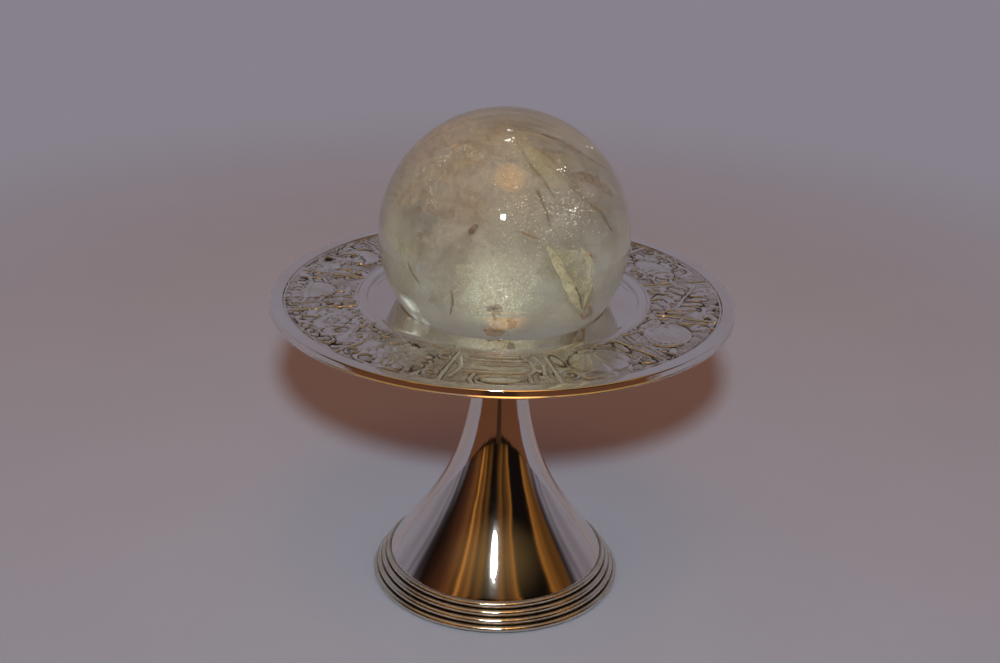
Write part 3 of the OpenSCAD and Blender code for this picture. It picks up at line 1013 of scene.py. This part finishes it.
def cloud_shell(name, material, middle, radii, seed, ripple=0.18):
    """A closed cloud surface, lumpy all over."""
    reach = BALL_R - 1.5

    def place(direction):
        lump = 1 + ripple * noise.fractal(direction * 1.4 + Vector((seed, 0, 0)), 0.8, 2.0, 3)
        spot = Vector(middle) + Vector([c * r for c, r in zip(direction * lump, radii)])
        away = spot - CENTRE
        if away.length > reach:
            spot = CENTRE + away.normalized() * reach
        return spot

    in_quartz(blob(name, 5, place), material)


def inclusions():
    """Clouds, veils, streaks, grains and painted glints, each where it shows in the real ball."""
    # the glow given to the milk, veils and grains is painted light that stands in for lamplight scattered in
    # the quartz
    thin = milk("thin_milk", ((0.30, 0.03), (0.50, 0.14), (0.72, 0.36)), 0.02)
    heart = inside(-1, -21, 0.42)
    thick = milk("thick_milk", ((0.26, 0.14), (0.48, 0.50), (0.68, 0.95)), 0.10, (heart, 3, 13))
    milky = veil("milky_veil", ((0.86, 0.86, 0.68), (1.0, 1.0, 0.90)),
                 ((0.32, 0.05), (0.50, 0.50), (0.66, 1.0)), 6, 0.8, 0.13, (heart, 3, 17))
    pearl = veil("pearly_crescent", ((0.90, 0.92, 0.84), (1.0, 1.0, 0.94)),
                 ((0.25, 0.5), (0.5, 0.75), (0.7, 0.95)), 9, 1.5, 0.10, (inside(-34, -32, 0.08), 2, 11))
    smoke = veil("brown_veil", ((0.36, 0.20, 0.11), (0.52, 0.34, 0.22)),
                 ((0.38, 0.0), (0.58, 0.26), (0.75, 0.50)), 9, 1.4)
    mottled = veil("mottled_veil", ((0.48, 0.38, 0.25), (0.74, 0.67, 0.52)),
                   ((0.44, 0.0), (0.56, 0.16), (0.70, 0.60)), 2.6, 0.5, 0.02)
    olive = veil("olive_veil", ((0.42, 0.35, 0.15), (0.78, 0.72, 0.44)),
                 ((0.34, 0.0), (0.54, 0.32), (0.72, 0.75)), 5, 1.1, 0.03)
    cream = veil("cream_streak", ((0.66, 0.57, 0.33), (0.92, 0.85, 0.62)),
                 ((0.28, 0.12), (0.5, 0.62), (0.7, 0.95)), 2.4, 0.7, 0.08)
    straw = veil("straw_fan", ((0.52, 0.45, 0.25), (0.84, 0.78, 0.58)),
                 ((0.30, 0.05), (0.5, 0.36), (0.7, 0.85)), 3.0, 0.7, 0.03)
    umber = veil("umber_streak", ((0.16, 0.085, 0.04), (0.42, 0.26, 0.14)),
                 ((0.34, 0.0), (0.52, 0.42), (0.70, 0.85)), 2.0, 0.6, 0.02)
    rust = veil("rust_grain", ((0.42, 0.22, 0.10), (0.72, 0.44, 0.24)),
                ((0.28, 0.1), (0.5, 0.7), (0.7, 1.0)), 2.0, 0.6, 0.04)
    mauve = veil("mauve_grain", ((0.44, 0.27, 0.20), (0.62, 0.46, 0.38)),
                 ((0.30, 0.05), (0.5, 0.45), (0.7, 0.8)), 2.0, 0.6)
    # the pale dust glows strongly: painted sparkle on real specks
    dust_and_painted_glow = grain("pale_dust_and_painted_glow", (0.80, 0.74, 0.48), (1.0, 0.98, 0.86), 0.25, 0.55)
    sand = grain("golden_dust", (0.34, 0.23, 0.10), (0.66, 0.50, 0.26), 0.3, 0.05)
    # painted highlights: glowing white specks that stand in for lamp glints in small cracks
    painted_glint = grain("painted_glint_specks", (0.95, 0.97, 0.90), (1.0, 1.0, 1.0), 0.1, 1.5)

    cloud_shell("outer_cloud", thin, CENTRE, (43, 43, 43), 1.0, 0.06)
    cloud_shell("middle_cloud", thin, CENTRE + Vector((-3, 2, 1)), (33, 32, 34), 2.0, 0.2)
    cloud_shell("inner_cloud", thin, CENTRE + Vector((-6, 0, 3)), (20, 19, 23), 3.0, 0.3)
    cloud_shell("bright_cloud", thick, heart, (12, 11, 11), 4.0, 0.3)
    cloud_shell("bright_core", thick, heart, (7.5, 6.5, 7), 5.0, 0.3)
    cloud_shell("back_cloud", thin, CENTRE + Vector((6, 20, -6)), (22, 15, 20), 6.0, 0.3)

    veil_patch("milky_veil_low", milky, (-2, -22), (24, 20), 5, (0.30, 0.52), 1)
    veil_patch("milky_veil_front", milky, (0, -20), (20, 18), -20, (0.42, 0.2), 2)
    veil_patch("milky_veil_middle", milky, (-4, -12), (20, 15), 30, (0.45, 0.7), 3)
    veil_patch("olive_veil_left", olive, (-40, -4), (7, 30), 4, (0.35, 0.5), 4, cells=40)
    veil_patch("brown_veil_upper", smoke, (-12, 20), (32, 22), 8, (0.12, 0.3), 5)
    veil_patch("brown_veil_side", smoke, (26, 8), (20, 17), -35, (0.2, 0.5), 6)
    veil_patch("brown_hollow", smoke, (-16, 12), (9, 16), 10, (0.15, 0.3), 14, 0.2)
    veil_patch("brown_veil_lower", smoke, (-19, -16), (9, 15), -20, (0.12, 0.4), 7, 0.5)
    veil_patch("brown_veil_fine", mottled, (-8, 16), (34, 26), -15, (0.06, 0.2), 12)
    veil_patch("brown_veil_band", mottled, (2, -4), (30, 16), 60, (0.05, 0.25), 13)
    veil_patch("olive_wedge", olive, (10, 27), (12, 4.5), -42, (0.15, 0.35), 8, 0.25)
    veil_patch("olive_veil_right", olive, (26, -17), (17, 6), -55, (0.2, 0.4), 9, 0.3)
    veil_patch("milky_crescent", pearl, (-34, -32), (11, 3.6), -44, (0.06, 0.10), 11, 0.08)

    ribbon("cream_streak_inner", cream, [(16, -4), (21, -11), (26, -20), (31, -29)], 3.4, (0.10, 0.2), 1)
    ribbon("cream_streak_broad", olive, [(17, -5), (25, -11), (30, -19), (33, -27)], 8.0, (0.14, 0.24), 21)
    ribbon("cream_streak_outer", cream, [(29, -4), (33, -9), (33.5, -17), (32, -27)], 2.2, (0.12, 0.22), 2)
    ribbon("straw_fan", straw, [(21, -5), (27, -10), (30.5, -18), (32, -27)], 8.5, (0.13, 0.22), 22)
    ribbon("umber_streak_inner", umber, [(28, -19), (30, -23), (31, -27)], 0.8, (0.09, 0.13), 3)
    ribbon("olive_plume_upper", olive, [(3, 32), (9, 29), (16, 23), (19, 17)], 7.0, (0.10, 0.2), 23)
    ribbon("umber_band_upper", umber, [(8, 33), (15, 28), (22, 22), (28, 18)], 3.4, (0.16, 0.24), 24)
    ribbon("rust_loop", rust, [(31, -27), (34, -26), (35, -29), (32, -31), (30.5, -28)],
           1.3, (0.2, 0.22), 4, 0.4)
    ribbon("rust_spot_upper", rust, [(29, -6), (32, -6), (34, -9)], 1.6, (0.2, 0.2), 5, 0.4)
    ribbon("umber_streak_long", umber, [(12, 38), (20, 36), (29, 31), (37, 27)], 1.0, (0.08, 0.12), 6, 0.3)
    ribbon("umber_streak_thick", umber, [(24, 24), (31, 22.5), (36, 20), (41, 16)], 3.4, (0.12, 0.18), 7, 0.3)
    ribbon("umber_streak_low", umber, [(23, 19), (30, 14), (36, 10), (41, 3)], 1.3, (0.12, 0.2), 8, 0.3)
    ribbon("umber_crack_middle", umber, [(3, 34), (8, 26), (13, 21), (18, 14)], 1.0, (0.1, 0.16), 9)
    ribbon("umber_crack_right", umber, [(11, 17), (15, 9), (17, 3)], 0.8, (0.1, 0.16), 10)
    ribbon("umber_fleck", umber, [(-10, 2.5), (-12, 0.5), (-13, -1)], 1.8, (0.04, 0.05), 11, 0.4)
    ribbon("rust_needle", rust, [(6, 0.8), (13, -1.6)], 0.5, (0.06, 0.1), 12)
    ribbon("umber_crack_left", umber, [(-36, -13), (-34, -17), (-31, -21)], 0.7, (0.08, 0.12), 13)
    ribbon("umber_crack_low", umber, [(-19, -22), (-18, -27), (-19, -32)], 0.8, (0.1, 0.14), 14)

    ribbon("mauve_lobe_left", mauve, [(-5, -29), (-1, -28), (-2, -33)], 2.8, (0.14, 0.14), 15, 0.5)
    ribbon("mauve_lobe_right", mauve, [(3, -32), (5, -34), (4, -36)], 2.6, (0.14, 0.14), 16, 0.5)
    ribbon("rust_lobe", rust, [(-6, -37), (-2, -38), (2, -37)], 3.0, (0.15, 0.15), 17, 0.5)
    ribbon("cream_stalk", cream, [(-2, -31), (1, -33), (3, -37)], 0.9, (0.12, 0.13), 18, 0.4)

    specks("milky_dust", dust_and_painted_glow, cloud((-1, -22), (17, 15), (0.04, 0.4), 2200, 21), (0.06, 0.19), 31)
    specks("band_dust", dust_and_painted_glow, cloud((4, 12), (11, 28), (0.04, 0.4), 420, 22, 10), (0.06, 0.24), 32)
    specks("side_dust", dust_and_painted_glow, cloud((22, 10), (14, 16), (0.04, 0.4), 420, 23, -30), (0.06, 0.26), 33)
    specks("wide_dust", dust_and_painted_glow, cloud((0, -6), (40, 34), (0.04, 0.6), 500, 25), (0.05, 0.15), 36)
    specks("golden_dust", sand, cloud((-2, 8), (34, 34), (0.03, 0.35), 900, 26), (0.05, 0.19), 37)
    scatter = np.random.default_rng(27).normal(0, 1, (220, 2))
    arc_places = [inside(-17 + 11 * math.cos(a) + u, 15 + 16 * math.sin(a) + v, 0.08 + 0.02 * u * v / 4)
                  for a, (u, v) in zip(np.linspace(0.6, 3.9, 220), scatter)]
    specks("arc_dust", dust_and_painted_glow, arc_places, (0.05, 0.18), 34)
    specks("rust_dust", rust, cloud((2, -4), (34, 34), (0.1, 0.7), 160, 24), (0.10, 0.30), 35)
    # where the painted glints go, and their sizes
    spots = [(0, 35, 1.0), (0, 39, 0.7), (20, 25, 1.0), (25, 10, 0.7), (31, 35, 0.8),
             (0, -21, 0.5), (1, -24, 0.6), (-1, -31, 0.45), (0, -41, 0.6), (-12, -13, 0.3), (3, 17, 0.3)]
    for number, (right, up, size) in enumerate(spots):
        reach = [0] + [size] * 6
        places = [inside(right + 1.6 * reach[k] * math.sin(k * 2.4), up + reach[k] * math.cos(k * 4.1),
                         0.06 + 0.01 * k) for k in range(7)]
        specks(f"glint_{number:02d}", painted_glint, places, (size * 0.16, size * 0.5), 50 + number)


# -------- camera and stage

PALE = (0.240, 0.221, 0.260)
AMBIENT = (0.205, 0.094, 0.066)


def camera():
    """A short telephoto view from in front and above, with a slight roll."""
    distance, height = 0.5721, 0.3520
    pitch, yaw, roll = 0.39904, -0.0012, 0.0285
    data = bpy.data.cameras.new("camera")
    data.sensor_width = 36
    data.lens = 54.82
    made = add("camera", data)
    aim = Matrix.Rotation(-yaw, 4, "Z") @ Matrix.Rotation(math.pi / 2 - pitch, 4, "X")
    aim = aim @ Matrix.Rotation(roll, 4, "Z")
    made.matrix_world = Matrix.Translation((0, -distance, height)) @ aim
    bpy.context.scene.camera = made


def hide_from(obj, *rays):
    for ray in rays:
        setattr(obj, "visible_" + ray, False)


def plane(name, x0, x1, y0, y1, z, material):
    """A flat stage card."""
    mesh = bpy.data.meshes.new(name)
    mesh.from_pydata([(x0, y0, z), (x1, y0, z), (x1, y1, z), (x0, y1, z)], [], [(0, 1, 2, 3)])
    mesh.materials.append(material)
    made = add(name, mesh)
    return made


def floor_cloth():
    """A pale lavender-grey floor that turns into an even backdrop tone further off."""
    s = Shader("pale_floor")
    colour = s.mix(s.noise(60, 2), (0.47, 0.445, 0.49, 1), (0.50, 0.475, 0.515, 1))
    near = s.principled(Base_Color=colour, Roughness=0.9)
    far = s.node("Emission", {"Color": (*PALE, 1), "Strength": 1.0}).outputs[0]
    where = s.node("TexCoord").outputs["Object"]
    distance = s.node("VectorMath", {0: where, 1: (0, 0.2, 0)}, operation="DISTANCE").outputs["Value"]
    return s.finish(s.node("MixShader", {"Fac": s.between(distance, 0.20, 0.62), 1: near, 2: far}).outputs[0])


def front_tones():
    """What the silver mirrors in front: the floor in warm shade, then a ragged edge and a dark room."""
    s = Shader("front_tones")
    x, y, _ = s.node("SeparateXYZ", {"Vector": s.node("TexCoord").outputs["Object"]}).outputs
    waver = s.noise(42, 4, roughness=0.6)
    edge = s.math("ADD", y, s.spread(waver, -0.07, 0.07))
    azimuth = s.math("ARCTAN2", x, s.math("MULTIPLY", y, -1.0))
    around = s.node("CombineXYZ", {"X": azimuth}).outputs[0]
    jags = s.math("ADD", s.spread(s.noise(0.5, 1, where=around), -1.0, 1.0),
                  s.spread(s.noise(0.09, 3, where=around, roughness=0.7), -0.8, 0.8))
    far = s.math("ADD", y, jags)
    shade = s.between(far, -1.5, -1.7, "LINEAR")
    warm = s.mix(s.noise(9, 3), (0.085, 0.031, 0.015, 1), (0.150, 0.060, 0.030, 1))
    tone = s.mix(shade, warm, (0.006, 0.004, 0.003, 1))
    pillar = s.math("ADD", s.math("ABSOLUTE", azimuth), s.spread(waver, -0.03, 0.03))
    tone = s.mix(s.between(pillar, 0.16, 0.10, "LINEAR"), tone, (0.040, 0.018, 0.010, 1))
    painted_glow = s.node("Emission", {"Color": tone, "Strength": 1.0}).outputs[0]
    clear = s.node("BsdfTransparent").outputs[0]
    begin = s.between(edge, -0.115, -0.15, "LINEAR")
    return s.finish(s.node("MixShader", {"Fac": begin, 1: clear, 2: painted_glow}).outputs[0])


def lamp(name, power, location, target, colour, size, hidden=()):
    data = bpy.data.lights.new(name, "AREA")
    data.energy = power
    data.color = colour
    data.shape = "DISK"
    data.size = size
    made = add(name, data)
    made.location = location
    aim = Vector(target) - Vector(location)
    made.rotation_euler = aim.to_track_quat("-Z", "Y").to_euler()
    hide_from(made, "camera", *hidden)
    return made


def even_out(light, strength):
    """Makes a lamp as bright far away as close by, as a studio flash with a shaped beam nearly is."""
    light.data.use_nodes = True
    tree = light.data.node_tree
    falloff = tree.nodes.new("ShaderNodeLightFalloff")
    falloff.inputs["Strength"].default_value = strength
    tree.links.new(falloff.outputs["Constant"], tree.nodes["Emission"].inputs["Strength"])


def room():
    """The studio: pale lavender behind, and in front a dark warm room for the silver to mirror."""
    world = bpy.data.worlds.new("studio")
    bpy.context.scene.world = world
    world.use_nodes = True
    w = Nodes(world.node_tree)
    where = w.node("TexCoord").outputs["Generated"]
    x, y, z = w.node("SeparateXYZ", {"Vector": where}).outputs
    azimuth = w.math("ARCTAN2", x, w.math("MULTIPLY", y, -1.0))
    height = w.math("ARCSINE", z)
    waver = w.noise(1 / 3, 3, where=where)
    bent = w.math("ADD", azimuth, w.spread(waver, -0.10, 0.10))

    # the dark front: amber streaks, a golden ceiling, a shaded lamp and a russet glow
    thin = w.noise(1 / 9, 3, where=w.node("CombineXYZ", {"X": bent}).outputs[0])
    streaks = w.bells(bent, (-41, 2.4, 1.0), (-33, 5.0, 0.45), (-52, 7, 0.20), (-20, 4, 0.22), (8, 7, 0.25),
                      (27, 2.5, 0.50), (22, 5, 0.22), (66, 3.0, 0.75), (72, 7, 0.30), (83, 5, 0.2))
    banded = w.math("MULTIPLY", streaks, w.spread(thin, 0.45, 1.35, 0.3, 0.7))
    ends = w.between(height, -0.12, 0.05, "LINEAR")
    amber = w.tint(w.math("MULTIPLY", banded, ends), (0.42, 0.165, 0.030))
    ceiling = w.between(height, math.radians(28), math.radians(62))
    zenith = w.between(height, math.radians(66), math.radians(80))
    golden = w.tint(ceiling, w.mix(zenith, (0.34, 0.215, 0.080, 1), (0.235, 0.200, 0.170, 1)))
    toward_lamp = Vector((0.05, -0.34, 0.94)).normalized()
    aim = w.node("VectorMath", {0: where, 1: toward_lamp}, operation="DOT_PRODUCT").outputs["Value"]
    shade_lamp = w.tint(w.between(aim, 0.958, 0.998), (3.1, 1.35, 0.22))
    russet = w.tint(w.math("MULTIPLY", w.bells(bent, (-60, 16, 1.0)), ends), (0.050, 0.016, 0.007))
    front = w.together((0.0055, 0.0038, 0.003), amber, golden, shade_lamp, russet)

    # the cloth behind: uneven and pleated, with the dim room above it and plain below the horizon
    folds = w.noise(1 / 2.2, 4, where=where)
    cloth = w.mix(folds, (PALE[0] * 0.86, PALE[1] * 0.84, PALE[2] * 0.84, 1), (*[c * 1.12 for c in PALE], 1))
    pleats = w.bells(w.math("ABSOLUTE", bent), (90, 5, 0.80), (101, 3.5, 0.50), (113, 8, 0.30),
                     (137, 5, 0.15))
    cloth = w.mix(pleats, cloth, (0.030, 0.020, 0.024, 1))
    crumpled = w.math("ADD", height, w.spread(waver, -0.2, 0.2))
    above = w.between(crumpled, math.radians(43), math.radians(50))
    cloth = w.mix(above, cloth, w.together((0.02, 0.015, 0.012), w.tint(ceiling, (0.11, 0.080, 0.045))))
    cloth = w.mix(w.between(z, 0.0, -0.05, "LINEAR"), cloth, (*PALE, 1))

    lean = w.math("MULTIPLY", w.math("MAXIMUM", z, 0.0), -0.55)
    mirrored = w.mix(w.between(w.math("ADD", y, lean), -0.30, 0.10), front, cloth)
    rays = w.node("LightPath").outputs
    lit = w.mix(rays["Is Diffuse Ray"], mirrored, (*AMBIENT, 1))
    colour = w.mix(rays["Is Camera Ray"], lit, (*PALE, 1))
    w.node("OutputWorld", {"Surface": w.node("Background", {"Color": colour, "Strength": 1.0}).outputs[0]})


def stage():
    """The floor, the tones that only the silver sees, and three lamps."""
    plane("floor", -6, 6, -6, 6, 0, floor_cloth())
    tones = plane("front_tones", -6, 6, -6, -0.09, 0.0006, front_tones())
    hide_from(tones, "camera", "shadow", "diffuse", "transmission", "volume_scatter")
    key_place, soft_place, flash_place = (0.0, -0.628, 0.480), (-0.5, -0.5, 1.3), (-0.018, -0.665, 0.580)
    key = lamp("key", 1.0, key_place, (0, 0.15, 0.05), (0.66, 0.88, 1.0), 0.045, ("glossy", "transmission"))
    even_out(key, 7.0)
    lamp("soft", 0.7, soft_place, (0, 0, 0.05), (1, 0.97, 0.95), 1.2, ("glossy", "transmission"))
    lamp("flash", 1.9, flash_place, (0, 0, 0.12), (0.86, 0.95, 1), 0.07,
         ("diffuse", "transmission", "volume_scatter"))


bpy.context.scene.view_settings.view_transform = "Standard"
bpy.context.scene.cycles.transparent_max_bounces = 48
camera()
room()
stage()
trumpet()
border()
collar()
felt_disc()
plate()
cup()
boss()
well_ring()
rim()
seat()
frieze()
ball()
inclusions()

for node, material in (("tie_rod", STEEL), ("clamp_plate", STEEL), ("flat_washer", STEEL),
                       ("spring_washer", STEEL), ("hex_nut", STEEL), ("backing_board", BOARD)):
    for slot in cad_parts[node].material_slots:
        slot.link = "OBJECT"
        slot.material = material
